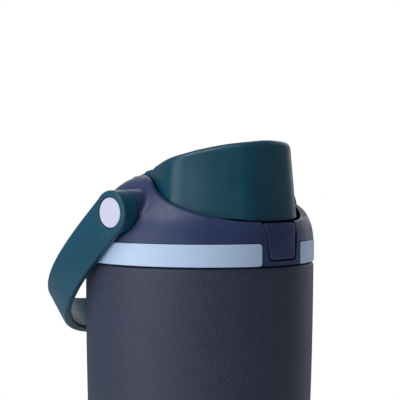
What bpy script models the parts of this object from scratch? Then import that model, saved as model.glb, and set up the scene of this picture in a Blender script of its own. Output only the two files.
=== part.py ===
"""Insulated steel water bottle with a flip-cover lid, a push-button latch and a swinging strap handle.

Metres, +Z up. The bottle stands on Z = 0 with its axis on Z, and its button faces -Y.
"""

import math

import bmesh
import bpy
from mathutils import Matrix, Vector

# Bottle body
BODY_TOP = 0.2240
BODY_RADIUS = 0.0495
BODY_TAPER = 0.243
SHELL_WALL = 0.0007
VACUUM_GAP = 0.0018
FLASK_WALL = 0.0005
FLASK_FLOOR = 0.0050
BASE_RING_INNER = 0.0303
BASE_FILLET = 0.0040
NECK_RADIUS = 0.0386
NECK_TOP = 0.2335
THREAD_PITCH = 0.0040
THREAD_TURNS = 1.35
TURN_STEPS = 32

# Lid
SKIRT_BOTTOM = 0.2243
DECK_UNDER = 0.2383
DECK_TOP = 0.2405
LINER_TOP = 0.2380
LINER_UNDER = 0.2365
BAND_OUTER = 0.0497
BAND_INNER = 0.0485
BAND_TOP = 0.2336
BAND_GAP = math.radians(14.0)
DOME_STEPS = 44

# Handle pivot, and the angle that the handle hangs below the horizontal
PIVOT_Z = 0.2461
BOSS_RADIUS = 0.0093
BOSS_OUTER_X = 0.0536
BOSS_INNER_X = 0.0454
HANG_ANGLE = math.radians(41.0)
STRAP_REACH = 0.0780
STRAP_POWER = 3.02
STRAP_HALF_WIDTH_TOP = 0.0092
STRAP_HALF_WIDTH_END = 0.0088
STRAP_THICKNESS = 0.0036
CAP_RADIUS = 0.0064

# Cover and its hinge
HINGE_Y = 0.0230
HINGE_Z = 0.2562
KNUCKLE_RADIUS = 0.0041
KNUCKLE_HALF = 0.0165
PIN_RADIUS = 0.0015
COVER_WALL = 0.0018
COVER_DRAFT = math.tan(math.radians(5.3))
COVER_BASE_Z = 0.2439
COVER_MIDDLE_Y = -0.0100
COVER_HALF_SIZE = 0.0350

# Drinking parts and latch
SPOUT_Y = -0.0150
SPOUT_HALF_X = 0.0140
SPOUT_HALF_Y = 0.0110
STRAW_Y = SPOUT_Y - 0.0042
STRAW_RADIUS = 0.0035
STRAW_BORE = 0.0027
VENT_Y = 0.0120
BUTTON_TOP = 0.2420
BUTTON_BOTTOM = 0.2267
BUTTON_TOP_HALF = 0.0099
BUTTON_BOTTOM_HALF = 0.0077
BUTTON_BACK_Y = -0.0472

# Half outlines in plan, from the front round to the rear
COVER_OUTLINE = (
    (0.0, -0.0450), (0.0095, -0.0440), (0.0166, -0.0408), (0.0220, -0.0368), (0.0270, -0.0318),
    (0.0311, -0.0266), (0.0339, -0.0212), (0.0348, -0.0160), (0.0338, -0.0108), (0.0315, -0.0056),
    (0.0286, -0.0004), (0.0250, 0.0056), (0.0216, 0.0103), (0.0188, 0.0130), (0.0178, 0.0156),
    (0.0176, 0.0200), (0.0170, 0.0240), (0.0120, 0.0250), (0.0, 0.0250),
)
POCKET_OUTLINE = (
    (0.0, -0.0462), (0.0096, -0.0451), (0.0172, -0.0420), (0.0229, -0.0379), (0.0281, -0.0326),
    (0.0321, -0.0270), (0.0345, -0.0213), (0.0352, -0.0158), (0.0342, -0.0106), (0.0318, -0.0053),
    (0.0287, -0.0001), (0.0251, 0.0059), (0.0219, 0.0103), (0.0193, 0.0132), (0.0181, 0.0156),
    (0.0176, 0.0180), (0.0174, 0.0290), (0.0168, 0.0295), (0.0, 0.0295),
)
DOME_PROFILE = (
    (0.0240, 0.2610), (0.0258, 0.2607), (0.0276, 0.2602), (0.0325, 0.2578), (0.0370, 0.2545),
    (0.0412, 0.2506), (0.0447, 0.2467), (0.0461, 0.2448), (0.0471, 0.2430), (0.0480, 0.2410),
    (0.0487, 0.2388), (0.0492, 0.2360), (0.0494, 0.2339),
)

# Side lines as (place along Y, height): the cover's top and lower edge, and the cut that leaves the lid's rim
COVER_LINE = ((-0.0450, 0.2764), (-0.0400, 0.2758), (-0.0350, 0.2747), (-0.0280, 0.2728), (-0.0180, 0.2701),
              (-0.0020, 0.2667), (0.0045, 0.2654), (0.0100, 0.2642), (0.0205, 0.2618), (0.0250, 0.2606))
SKIRT_LINE = ((-0.0450, 0.2425), (-0.0425, 0.2431), (-0.0390, 0.2436), (-0.0350, 0.2439))
RIM_LINE = ((-0.0520, 0.2423), (-0.0430, 0.2427), (-0.0350, 0.2446), (-0.0294, 0.2464), (-0.0228, 0.2487),
            (-0.0159, 0.2513), (-0.0096, 0.2542), (-0.0032, 0.2575), (0.0006, 0.2592), (0.0100, 0.2613))


# Scene helpers

def clear_scene():
    for obj in list(bpy.data.objects):
        bpy.data.objects.remove(obj, do_unlink=True)


def new_collection(name):
    collection = bpy.data.collections.new(name)
    bpy.context.scene.collection.children.link(collection)
    return collection


def new_material(name, colour, roughness, metallic=0.0):
    material = bpy.data.materials.new(name)
    material.use_nodes = True
    shader = material.node_tree.nodes["Principled BSDF"]
    shader.inputs["Base Color"].default_value = (*colour, 1.0)
    shader.inputs["Roughness"].default_value = roughness
    shader.inputs["Metallic"].default_value = metallic
    material.diffuse_color = (*colour, 1.0)
    return material


def add_object(name, mesh, material=None):
    """A part when it has a material, and otherwise a hidden cutter or tool."""
    obj = bpy.data.objects.new(name, mesh)
    if material is None:
        TOOLS.objects.link(obj)
        obj.hide_render = True
        obj.display_type = "WIRE"
        return obj
    PARTS.objects.link(obj)
    mesh.materials.append(material)
    return obj


def move_origin(obj, point):
    """Puts the object's origin at a world point and leaves its shape where it is."""
    obj.data.transform(Matrix.Translation(-Vector(point)))
    obj.location = point


def boolean(obj, tool, operation):
    modifier = obj.modifiers.new(tool.name, "BOOLEAN")
    modifier.object = tool
    modifier.operation = operation
    modifier.solver = "EXACT"


def cut(obj, *tools):
    for tool in tools:
        boolean(obj, tool, "DIFFERENCE")


def join(obj, *tools):
    for tool in tools:
        boolean(obj, tool, "UNION")


# Shape helpers

def finish_mesh(bm, name):
    mesh = bpy.data.meshes.new(name)
    bm.normal_update()
    bmesh.ops.recalc_face_normals(bm, faces=bm.faces)
    if bm.calc_volume(signed=True) < 0.0:
        bmesh.ops.reverse_faces(bm, faces=bm.faces)
    bm.to_mesh(mesh)
    bm.free()
    mesh.shade_smooth()
    mesh.set_sharp_from_angle(angle=math.radians(35))
    return mesh


def turned(name, profile, steps, material=None, ring=False):
    """A profile of (radius, height) turned about Z. A ring's profile closes on itself."""
    mesh = bpy.data.meshes.new(name)
    count = len(profile)
    edges = [(i, i + 1) for i in range(count - 1)]
    if ring:
        edges.append((count - 1, 0))
    mesh.from_pydata([(r, 0.0, z) for r, z in profile], edges, [])
    obj = add_object(name, mesh, material)
    screw = obj.modifiers.new("Turn", "SCREW")
    screw.axis = "Z"
    screw.angle = math.tau
    screw.steps = steps
    screw.render_steps = steps
    screw.use_merge_vertices = True
    screw.merge_threshold = 0.00001
    screw.use_smooth_shade = True
    return obj


def lofted(name, rings, material=None):
    """A closed skin through rings of equal length, with a flat or fanned cap at each end."""
    bm = bmesh.new()
    loops = [[bm.verts.new(point) for point in ring] for ring in rings]
    for lower, upper in zip(loops, loops[1:]):
        count = len(lower)
        for i in range(count):
            j = (i + 1) % count
            bm.faces.new((lower[i], lower[j], upper[j], upper[i]))
    for loop in (loops[0], loops[-1]):
        centre = bm.verts.new(sum((v.co for v in loop), Vector()) / len(loop))
        for i in range(len(loop)):
            bm.faces.new((loop[i], loop[(i + 1) % len(loop)], centre))
    return add_object(name, finish_mesh(bm, name), material)


def prism(name, outline, low, high, material=None):
    """A plan outline extruded from one height to another."""
    bm = bmesh.new()
    face = bm.faces.new([bm.verts.new((x, y, low)) for x, y in outline])
    grown = bmesh.ops.extrude_face_region(bm, geom=[face])
    top = [item for item in grown["geom"] if isinstance(item, bmesh.types.BMVert)]
    bmesh.ops.translate(bm, verts=top, vec=(0.0, 0.0, high - low))
    return add_object(name, finish_mesh(bm, name), material)


def box(name, low, high, material=None):
    bm = bmesh.new()
    bmesh.ops.create_cube(bm, size=1.0)
    size = Vector(high) - Vector(low)
    bmesh.ops.scale(bm, verts=bm.verts, vec=size)
    bmesh.ops.translate(bm, verts=bm.verts, vec=(Vector(high) + Vector(low)) / 2)
    return add_object(name, finish_mesh(bm, name), material)


def rod(name, start, end, radius, material=None, segments=24, chamfer=0.0):
    """A cylinder between two points, with its end edges cut back by the chamfer."""
    start, end = Vector(start), Vector(end)
    bm = bmesh.new()
    bmesh.ops.create_cone(bm, cap_ends=True, segments=segments, radius1=radius, radius2=radius,
                          depth=(end - start).length)
    if chamfer:
        rims = [e for e in bm.edges if abs(e.verts[0].co.z - e.verts[1].co.z) < 1e-7]
        bmesh.ops.bevel(bm, geom=rims, offset=chamfer, segments=1, profile=0.5, affect="EDGES")
    turn = (end - start).to_track_quat("Z", "Y").to_matrix().to_4x4()
    bm.transform(Matrix.Translation((start + end) / 2) @ turn)
    return add_object(name, finish_mesh(bm, name), material)


def oval(half_x, half_y, centre_y, count=28):
    angles = [math.tau * i / count for i in range(count)]
    return [(half_x * math.cos(a), centre_y + half_y * math.sin(a)) for a in angles]


def wire(name, points, radius, material=None, resolution=2, tapers=0):
    """A round bar along points. With tapers, its section grows in over that many points at each end."""
    curve = bpy.data.curves.new(name, "CURVE")
    curve.dimensions = "3D"
    curve.bevel_depth = radius
    curve.bevel_resolution = resolution
    curve.use_fill_caps = True
    spline = curve.splines.new("POLY")
    spline.points.add(len(points) - 1)
    for index, (point, position) in enumerate(zip(spline.points, points)):
        point.co = (*position, 1.0)
        near_end = min(index, len(points) - 1 - index)
        point.radius = min(1.0, 0.35 + 0.65 * near_end / tapers) if tapers else 1.0
    guide = bpy.data.objects.new(name + "_guide", curve)
    TOOLS.objects.link(guide)
    mesh = bpy.data.meshes.new_from_object(guide.evaluated_get(bpy.context.evaluated_depsgraph_get()))
    bpy.data.objects.remove(guide)
    bm = bmesh.new()
    bm.from_mesh(mesh)
    bmesh.ops.remove_doubles(bm, verts=bm.verts, dist=0.000001)
    return add_object(name, finish_mesh(bm, name), material)


def helix(radius, low, pitch, turns, per_turn):
    count = round(turns * per_turn)
    angles = [math.tau * i / per_turn for i in range(count + 1)]
    return [(radius * math.cos(a), radius * math.sin(a), low + pitch * a / math.tau) for a in angles]


def smooth_half(points, per_span):
    """A Catmull-Rom curve through a half outline whose ends lie on the mirror plane."""
    ends = [(-points[1][0], points[1][1]), *points, (-points[-2][0], points[-2][1])]
    path = []
    for a, b, c, d in zip(ends, ends[1:], ends[2:], ends[3:]):
        for step in range(per_span):
            t = step / per_span
            path.append(tuple(
                0.5 * (2 * q + (r - p) * t + (2 * p - 5 * q + 4 * r - s) * t ** 2 + (3 * q - p - 3 * r + s) * t ** 3)
                for p, q, r, s in zip(a, b, c, d)
            ))
    return [*path, points[-1]]


def full_outline(half):
    """Both halves of a smoothed outline, anticlockwise, with its outward directions."""
    left = [(-x, y) for x, y in reversed(half[1:-1])]
    loop = [*half, *left]
    normals = []
    for index in range(len(loop)):
        before, after = loop[index - 1], loop[(index + 1) % len(loop)]
        along = Vector((after[0] - before[0], after[1] - before[1])).normalized()
        normals.append((along.y, -along.x))
    return loop, normals


def offset_outline(outline, normals, distance):
    return [(x + nx * distance, y + ny * distance) for (x, y), (nx, ny) in zip(outline, normals)]


def blend(table, value):
    """Straight-line reading of a table of (place, height) pairs."""
    if value <= table[0][0]:
        return table[0][1]
    for (x0, y0), (x1, y1) in zip(table, table[1:]):
        if value <= x1:
            return y0 + (y1 - y0) * (value - x0) / (x1 - x0)
    return table[-1][1]


def body_radius(z):
    return BODY_RADIUS - BODY_TAPER * (BODY_TOP - z) ** 2


# Bottle

def wall_heights():
    return [0.203, 0.160, 0.116, 0.066, 0.014]


def corner(centre_r, centre_z, radius, steps=3):
    """A quarter round at the bottom of a wall, from its outside down to its underside."""
    angles = [math.pi / 2 * i / steps for i in range(steps + 1)]
    return [(centre_r + radius * math.cos(a), centre_z - radius * math.sin(a)) for a in angles]


def build_outer_shell(coat):
    foot = body_radius(BASE_FILLET) - 0.0003
    outer = [(NECK_RADIUS, NECK_TOP), (NECK_RADIUS, 0.2256), (0.0391, 0.2247), (0.0403, 0.2242)]
    outer += [(0.0474, 0.2238), (0.0486, 0.2236), (0.0493, 0.2230), (BODY_RADIUS, 0.2222)]
    outer += [(body_radius(z), z) for z in wall_heights()]
    outer += corner(foot - BASE_FILLET, BASE_FILLET, BASE_FILLET)
    outer.append((BASE_RING_INNER, 0.0))
    inside = corner(foot - BASE_FILLET, BASE_FILLET, BASE_FILLET - SHELL_WALL)
    inner = [(BASE_RING_INNER, SHELL_WALL), *reversed(inside)]
    inner += [(body_radius(z) - SHELL_WALL, z) for z in reversed(wall_heights())]
    inner += [(0.0487, 0.2218), (0.0482, 0.2226), (0.0472, 0.2230), (0.0400, 0.2235)]
    inner += [(NECK_RADIUS - 0.0006, 0.2246), (NECK_RADIUS - 0.0006, NECK_TOP)]
    shell = turned("outer_shell", outer + inner, TURN_STEPS, coat, ring=True)
    ridge = helix(NECK_RADIUS + 0.0005, 0.2265, THREAD_PITCH, THREAD_TURNS, 24)
    join(shell, wire("neck_thread", ridge, 0.0010, resolution=1, tapers=4))


def flask_side(inset, shoulder_rise):
    """The flask wall between its neck and its floor, at a distance inside the body's outside."""
    side = [(0.0386 - inset + 0.0025, 0.2205 + shoulder_rise), (0.0430 - inset + 0.0025, 0.2185 + shoulder_rise)]
    side.append((0.0463 - inset + 0.0025, 0.2150 + shoulder_rise))
    side += [(body_radius(z) - inset, z) for z in wall_heights()]
    return side


def build_inner_flask(steel):
    outside = SHELL_WALL + VACUUM_GAP
    inside = outside + FLASK_WALL
    foot = body_radius(0.012) - 0.0005
    floor_round = 0.0070
    top = FLASK_FLOOR + floor_round
    inner = [(0.0, FLASK_FLOOR), *reversed(corner(foot - inside - floor_round, top, floor_round))]
    inner += reversed(flask_side(inside, 0.0003))
    inner += [(0.0372, 0.2230), (0.0372, 0.2344)]
    outer = [(0.0386, 0.2344), (0.0386, 0.2338), (0.0377, 0.2338), (0.0377, 0.2226)]
    outer += flask_side(outside, 0.0)
    outer += corner(foot - inside - floor_round, top, floor_round + FLASK_WALL)
    outer.append((0.0, FLASK_FLOOR - FLASK_WALL))
    turned("inner_flask", inner + outer, TURN_STEPS, steel)


def build_base_plate(steel):
    upper = [(0.0, 0.0007), (0.0188, 0.0007), (0.0204, 0.0017), (0.0236, 0.0017), (0.0252, 0.0007), (0.0300, 0.0007)]
    lower = [(0.0300, 0.0), (0.0255, 0.0), (0.0239, 0.0010), (0.0201, 0.0010), (0.0185, 0.0), (0.0, 0.0)]
    turned("base_plate", upper + lower, 32, steel)


# Lid

def build_neck_gasket(silicone):
    profile = [(0.0394, 0.2362), (0.0394, 0.2347), (0.0369, 0.2347), (0.0369, 0.2362)]
    turned("neck_gasket", profile, 28, silicone, ring=True)


def build_lid_liner(plastic):
    profile = [(0.0, LINER_TOP), (0.0422, LINER_TOP), (0.0428, LINER_TOP - 0.0006), (0.0428, 0.2252)]
    profile += [(0.0412, 0.2252), (0.0412, LINER_UNDER), (0.0, LINER_UNDER)]
    liner = turned("lid_liner", profile, TURN_STEPS, plastic)
    ridge = helix(0.0416, 0.2275, THREAD_PITCH, THREAD_TURNS, 24)
    join(liner, wire("lid_thread", ridge, 0.0010, resolution=1, tapers=4))
    cut(liner, prism("liner_spout_hole", oval(SPOUT_HALF_X + 0.0004, SPOUT_HALF_Y + 0.0004, SPOUT_Y), 0.232, 0.2385))
    cut(liner, rod("liner_vent_hole", (0.0, VENT_Y, 0.2330), (0.0, VENT_Y, 0.2400), 0.0018, segments=16))


def button_frame(half_low, half_high, low, high, front, back, radius=0.0016):
    """Rings of a block that tapers down in X and Z, with round corners, running along Y."""
    corners = ((half_high, high), (-half_high, high), (-half_low, low), (half_low, low))
    section = []
    for index, (x, z) in enumerate(corners):
        for step in range(4):
            angle = math.radians(90 * index + 30 * step)
            centre_x = x - math.copysign(radius, x)
            centre_z = z + (radius if z == low else -radius)
            section.append((centre_x + radius * math.cos(angle), centre_z + radius * math.sin(angle)))
    return [[(x, y, z) for x, z in section] for y in (front, back)]


def front_housing(name, material=None):
    """The wall between the band's ends, where the button sits."""
    count = 7
    half = BAND_GAP - math.radians(0.4)
    angles = [-half + 2 * half * i / count for i in range(count + 1)]
    outer = [(0.0493 * math.sin(a), -0.0493 * math.cos(a)) for a in angles]
    inner = [(0.0470 * math.sin(a), -0.0470 * math.cos(a)) for a in reversed(angles)]
    return prism(name, outer + inner, SKIRT_BOTTOM, 0.2345, material)


def rim_cut(name, lowered):
    """The space above the rim's line, right across the lid."""
    line = [(y, z - lowered) for y, z in RIM_LINE]
    section = [*line, (0.0100, 0.2700), (-0.0520, 0.2700)]
    return lofted(name, [[(x, y, z) for y, z in section] for x in (-0.0600, 0.0600)])


def lid_hollow(outline, normals):
    """The space under the dome and the rim, outside the pocket's wall."""
    under = [(0.0, 0.2590), (0.0236, 0.2590), (0.0262, 0.2583), (0.0312, 0.2556), (0.0354, 0.2526), (0.0394, 0.2490)]
    under += [(0.0424, 0.2457), (0.0440, 0.2433), (0.0449, 0.2410), (0.0453, 0.2388), (0.0453, 0.2370), (0.0, 0.2370)]
    space = turned("under_dome", under, DOME_STEPS)
    cut(space, prism("pocket_block", offset_outline(outline, normals, 0.0019), 0.2362, 0.2660))
    cut(space, rim_cut("under_rim", 0.0019))
    return space


def pivot_tools(side):
    """The round seat in the dome, the plate and boss behind it, and the pin's hole, on one side."""
    label = "left" if side < 0 else "right"
    seat = rod("seat_" + label, (side * 0.0450, 0, PIVOT_Z), (side * 0.0580, 0, PIVOT_Z), 0.0098, segments=28)
    plate = rod("plate_" + label, (side * 0.0432, 0, PIVOT_Z), (side * 0.0451, 0, PIVOT_Z), 0.0099, segments=28)
    boss = rod("boss_" + label, (side * 0.0345, 0, PIVOT_Z), (side * 0.0446, 0, PIVOT_Z), BOSS_RADIUS, segments=28)
    cut(boss, box("boss_foot_" + label, (-0.0600, -0.0200, 0.2300), (0.0600, 0.0200, DECK_UNDER + 0.0002)))
    hole = rod("pin_hole_" + label, (side * 0.0372, 0, PIVOT_Z), (side * 0.0580, 0, PIVOT_Z), 0.0028, segments=20)
    return seat, plate, boss, hole


def build_lid_shell(plastic):
    outline, normals = full_outline(smooth_half(POCKET_OUTLINE, 1))
    profile = [(0.0, 0.2610), *DOME_PROFILE]
    profile += [(0.0482, 0.2339), (0.0482, SKIRT_BOTTOM), (0.0464, SKIRT_BOTTOM), (0.0464, DECK_UNDER)]
    profile.append((0.0, DECK_UNDER))
    lid = turned("lid_shell", profile, DOME_STEPS, plastic)
    join(lid, front_housing("housing"))
    cut(lid, lid_hollow(outline, normals))
    holes = []
    for side in (-1, 1):
        seat, plate, boss, hole = pivot_tools(side)
        cut(lid, seat)
        join(lid, plate, boss)
        holes.append(hole)
    cut(lid, *holes, prism("pocket", outline, DECK_TOP, 0.2670), rim_cut("above_rim", 0.0))
    slope = (BUTTON_TOP_HALF - BUTTON_BOTTOM_HALF) / (BUTTON_TOP - BUTTON_BOTTOM)
    window_top = 0.2475
    widest = BUTTON_TOP_HALF + 0.0004 + slope * (window_top - BUTTON_TOP)
    window = button_frame(BUTTON_BOTTOM_HALF + 0.0004, widest, BUTTON_BOTTOM - 0.0004, window_top, -0.0560, -0.0436)
    cut(lid, lofted("button_window", window))
    cut(lid, prism("deck_spout_hole", oval(SPOUT_HALF_X + 0.0004, SPOUT_HALF_Y + 0.0004, SPOUT_Y), 0.2360, 0.2440))
    cut(lid, rod("deck_vent_hole", (0.0, VENT_Y, 0.2340), (0.0, VENT_Y, 0.2420), 0.0018, segments=16))
    cut(lid, rod("hinge_bore", (-0.0215, HINGE_Y, HINGE_Z), (0.0215, HINGE_Y, HINGE_Z), PIN_RADIUS + 0.0003,
                 segments=16))
    join(lid, box("spring_post", (-0.0030, -0.0315, 0.2395), (0.0030, -0.0303, 0.2450)))


def build_trim_band(plastic):
    count = 44
    angles = [BAND_GAP + (math.tau - 2 * BAND_GAP) * i / count for i in range(count + 1)]
    outer = [(BAND_OUTER * math.sin(a), -BAND_OUTER * math.cos(a)) for a in angles]
    inner = [(BAND_INNER * math.sin(a), -BAND_INNER * math.cos(a)) for a in reversed(angles)]
    prism("trim_band", outer + inner, SKIRT_BOTTOM, BAND_TOP, plastic)


# Drinking parts

def spout_top(y):
    return cover_height(y) - 0.0064


def build_spout(plastic):
    outline = oval(SPOUT_HALF_X, SPOUT_HALF_Y, SPOUT_Y)
    low = [(x, y, 0.2349) for x, y in outline]
    rim = [(x, y, spout_top(y) - 0.0012) for x, y in outline]
    lip = [(x * 0.93, SPOUT_Y + (y - SPOUT_Y) * 0.92, spout_top(y)) for x, y in outline]
    spout = lofted("spout", [low, rim, lip], plastic)
    join(spout, prism("spout_flange", oval(0.0166, 0.0134, SPOUT_Y), 0.2408, 0.2422))
    cut(spout, prism("sip_channel", oval(0.0102, 0.0036, SPOUT_Y + 0.0044), 0.2300, 0.2800))
    cut(spout, rod("straw_channel", (0, STRAW_Y, 0.2300), (0, STRAW_Y, 0.2800), STRAW_BORE, segments=16))


def build_straw(plastic, silicone):
    profile = [(STRAW_RADIUS, 0.2325), (STRAW_RADIUS, 0.0130), (STRAW_BORE, 0.0130), (STRAW_BORE, 0.2325)]
    straw = turned("straw", profile, 16, plastic, ring=True)
    straw.location = (0.0, STRAW_Y, 0.0)
    bore = STRAW_RADIUS + 0.0003
    sleeve = [(0.0050, 0.2346), (0.0050, 0.2215), (bore, 0.2215), (bore, 0.2328), (STRAW_BORE, 0.2328)]
    sleeve.append((STRAW_BORE, 0.2346))
    adapter = turned("straw_adapter", sleeve, 16, silicone, ring=True)
    adapter.location = (0.0, STRAW_Y, 0.0)


def build_vent_valve(silicone):
    profile = [(0.0, 0.2420), (0.0022, 0.2418), (0.0036, 0.2409), (0.0014, 0.2408), (0.0014, 0.2361)]
    profile += [(0.0026, 0.2358), (0.0012, 0.2342), (0.0, 0.2342)]
    valve = turned("vent_valve", profile, 14, silicone)
    valve.location = (0.0, VENT_Y, 0.0)


# Cover

def cover_height(y):
    """Height of the cover's top above its middle line."""
    return blend(COVER_LINE, y)


def cover_top(x, y):
    """Height of the cover's top, which falls away to both sides of its nose."""
    nose = min(1.0, max(0.0, (-0.0260 - y) / 0.0140))
    return cover_height(y) - 0.0006 * nose * (1.0 - math.cos(math.pi * min(1.0, abs(x) / 0.0180)))


def cover_skirt(x, y):
    """Height of the cover's lower edge, a little inside the lid's rim."""
    below_rim = blend(RIM_LINE, y) - 0.0016
    return max(blend(SKIRT_LINE, y), min(below_rim, cover_top(x, y) - 0.0042))


def cover_ring(outline, extra, height):
    """One ring of the cover: its outline drawn in by the draft at that height, and by the extra."""
    ring = []
    for x, y in outline:
        z = height(x, y)
        inset = extra + COVER_DRAFT * max(0.0, z - COVER_BASE_Z)
        factor = 1.0 - inset / COVER_HALF_SIZE
        ring.append((x * factor, COVER_MIDDLE_Y + (y - COVER_MIDDLE_Y) * factor, z))
    return ring


def shrunk(ring, factor, rise):
    """A ring drawn toward its middle, for the crowned top."""
    points = []
    for x, y, _ in ring:
        new_x, new_y = x * factor, COVER_MIDDLE_Y + (y - COVER_MIDDLE_Y) * factor
        points.append((new_x, new_y, cover_top(new_x, new_y) + rise))
    return points


def build_cover_shell(plastic):
    outline, _ = full_outline(smooth_half(COVER_OUTLINE, 1))
    round_edge = 0.0032
    outer = [cover_ring(outline, 0.0, cover_skirt)]
    outer.append(cover_ring(outline, 0.0, lambda x, y: cover_top(x, y) - round_edge))
    for step in (1, 2, 3):
        angle = math.radians(30 * step)
        inset, drop = round_edge * (1 - math.cos(angle)), round_edge * (1 - math.sin(angle))
        outer.append(cover_ring(outline, inset, lambda x, y, drop=drop: cover_top(x, y) - drop))
    outer.append(shrunk(outer[-1], 0.55, 0.0006))
    shell = lofted("cover_shell", outer, plastic)
    inside = [cover_ring(outline, COVER_WALL, lambda x, y: cover_skirt(x, y) - 0.0030)]
    inside.append(cover_ring(outline, COVER_WALL, lambda x, y: cover_top(x, y) - 0.0036))
    inside.append(cover_ring(outline, COVER_WALL + 0.0014, lambda x, y: cover_top(x, y) - 0.0020))
    inside.append(shrunk(inside[-1], 0.55, -0.0016))
    cut(shell, lofted("cover_inside", inside))
    knuckle = rod("knuckle", (-KNUCKLE_HALF, HINGE_Y, HINGE_Z), (KNUCKLE_HALF, HINGE_Y, HINGE_Z), KNUCKLE_RADIUS)
    join(shell, knuckle)
    cut(shell, box("spring_space", (-0.0058, 0.0180, 0.2500), (0.0058, 0.0290, HINGE_Z + 0.0035)))
    cut(shell, rod("knuckle_bore", (-0.0200, HINGE_Y, HINGE_Z), (0.0200, HINGE_Y, HINGE_Z), PIN_RADIUS + 0.0003,
                   segments=16))
    join(shell, box("latch_tongue", (-0.0050, -0.0440, 0.2449), (0.0050, -0.0417, 0.2490)))
    join(shell, box("latch_tooth", (-0.0048, -0.0434, 0.2425), (0.0048, -0.0419, 0.2455)))
    join(shell, box("latch_lip", (-0.0046, -0.0430, 0.2426), (0.0046, -0.0406, 0.2434)))
    move_origin(shell, (0.0, HINGE_Y, HINGE_Z))


def build_cover_liner(plastic, silicone):
    outline = oval(0.0225, 0.0210, -0.0150, 32)
    low = [(x, y, cover_height(y) - 0.0038) for x, y in outline]
    high = [(x, y, cover_height(y) - 0.0026) for x, y in outline]
    liner = lofted("cover_liner", [low, high], plastic)
    move_origin(liner, (0.0, HINGE_Y, HINGE_Z))
    pad = oval(0.0150, 0.0122, SPOUT_Y)
    low = [(x, y, cover_height(y) - 0.0061) for x, y in pad]
    high = [(x, y, cover_height(y) - 0.0041) for x, y in pad]
    seal = lofted("spout_seal", [low, high], silicone)
    move_origin(seal, (0.0, HINGE_Y, HINGE_Z))


def coil(start_x, length, turns, radius, per_turn):
    """Points of a coil along X about the X axis."""
    count = round(turns * per_turn)
    points = []
    for index in range(count + 1):
        angle = math.tau * index / per_turn
        points.append((start_x + length * index / count, radius * math.cos(angle), radius * math.sin(angle)))
    return points


def build_hinge(steel):
    pin = rod("hinge_pin", (-0.0190, HINGE_Y, HINGE_Z), (0.0190, HINGE_Y, HINGE_Z), PIN_RADIUS, steel, 16)
    move_origin(pin, (0.0, HINGE_Y, HINGE_Z))
    turns = coil(-0.0048, 0.0096, 4, 0.0026, 10)
    spring = wire("torsion_spring", turns, 0.0004, steel, resolution=1)
    spring.location = (0.0, HINGE_Y, HINGE_Z)


# Latch

def build_latch_button(plastic):
    block = button_frame(BUTTON_BOTTOM_HALF, BUTTON_TOP_HALF, BUTTON_BOTTOM, BUTTON_TOP, -0.0560, BUTTON_BACK_Y)
    button = lofted("latch_button", block, plastic)
    face = [(0.0, BUTTON_TOP + 0.0040), (0.0440, BUTTON_TOP + 0.0040), *DOME_PROFILE[7:], (0.0494, 0.2200), (0.0, 0.2200)]
    form = turned("button_form", [(r, z) for r, z in face], DOME_STEPS)
    boolean(button, form, "INTERSECT")
    join(button, box("latch_arm", (-0.0035, -0.0481, 0.2409), (0.0035, -0.0373, 0.2418)))
    join(button, box("latch_upright", (-0.0034, -0.0385, 0.2411), (0.0034, -0.0372, 0.2449)))
    join(button, box("latch_nose", (-0.0033, -0.0403, 0.2437), (0.0033, -0.0376, 0.2447)))
    move_origin(button, (0.0, BUTTON_BACK_Y, 0.2351))


def build_button_spring(steel):
    turns = coil(0.0, 0.0026, 3, 0.0015, 8)
    spring = wire("button_spring", turns, 0.00025, steel, resolution=1)
    spring.location = (0.0, -0.0321, 0.2429)
    spring.rotation_euler = (0.0, 0.0, -math.pi / 2)


# Handle

def strap_point(angle, inset):
    """A point of the strap's plan curve, drawn in by the inset, as (across, along the hang)."""
    power = 2.0 / STRAP_POWER
    cos_a, sin_a = math.cos(angle), math.sin(angle)
    across = math.copysign(abs(cos_a) ** power, cos_a)
    along = abs(sin_a) ** power
    slope_x = math.copysign(abs(across) ** (STRAP_POWER - 1) / (BOSS_OUTER_X - 0.0002), across)
    slope_s = along ** (STRAP_POWER - 1) / STRAP_REACH
    normal = Vector((slope_x, slope_s)).normalized()
    return ((BOSS_OUTER_X - 0.0002) * across - inset * normal.x, STRAP_REACH * along - inset * normal.y)


def strap_section(angle):
    """The strap's rounded cross-section at one place, in world coordinates about the pivot."""
    share = abs(math.sin(angle)) ** (2.0 / STRAP_POWER)
    half = STRAP_HALF_WIDTH_TOP + (STRAP_HALF_WIDTH_END - STRAP_HALF_WIDTH_TOP) * share
    thick = STRAP_THICKNESS + 0.0004 * share
    soft = 0.0008
    places = ((0.0, half - soft), (soft, half), (thick - soft, half), (thick, half - soft))
    section = [*places, *((inset, -width) for inset, width in reversed(places))]
    points = []
    for inset, width in section:
        across, along = strap_point(angle, inset)
        y = along * math.cos(HANG_ANGLE) + width * math.sin(HANG_ANGLE)
        z = -along * math.sin(HANG_ANGLE) + width * math.cos(HANG_ANGLE)
        points.append((across, y, z))
    return points


def strap_angles():
    """Places along the strap, closer together round its corners."""
    count = 30
    return [math.pi * i / count for i in range(count + 1)]


def build_handle(plastic):
    handle = lofted("handle", [strap_section(angle) for angle in strap_angles()], plastic)
    handle.location = (0.0, 0.0, PIVOT_Z)
    for side in (-1, 1):
        label = "left" if side < 0 else "right"

        def along(name, start, end, radius, segments=28, chamfer=0.0):
            return rod(name + label, (side * start, 0, PIVOT_Z), (side * end, 0, PIVOT_Z), radius, None, segments,
                       chamfer)

        join(handle, along("handle_boss_", BOSS_INNER_X, BOSS_OUTER_X, BOSS_RADIUS, chamfer=0.0008))
        cut(handle, along("cap_seat_", 0.0516, 0.0560, CAP_RADIUS + 0.0003))
        cut(handle, along("head_seat_", 0.0496, 0.0530, 0.0046, 24))
        cut(handle, along("washer_seat_", 0.0440, 0.0462, 0.0079, 24))
        cut(handle, along("handle_bore_", 0.0430, 0.0520, 0.0028, 20))


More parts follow.
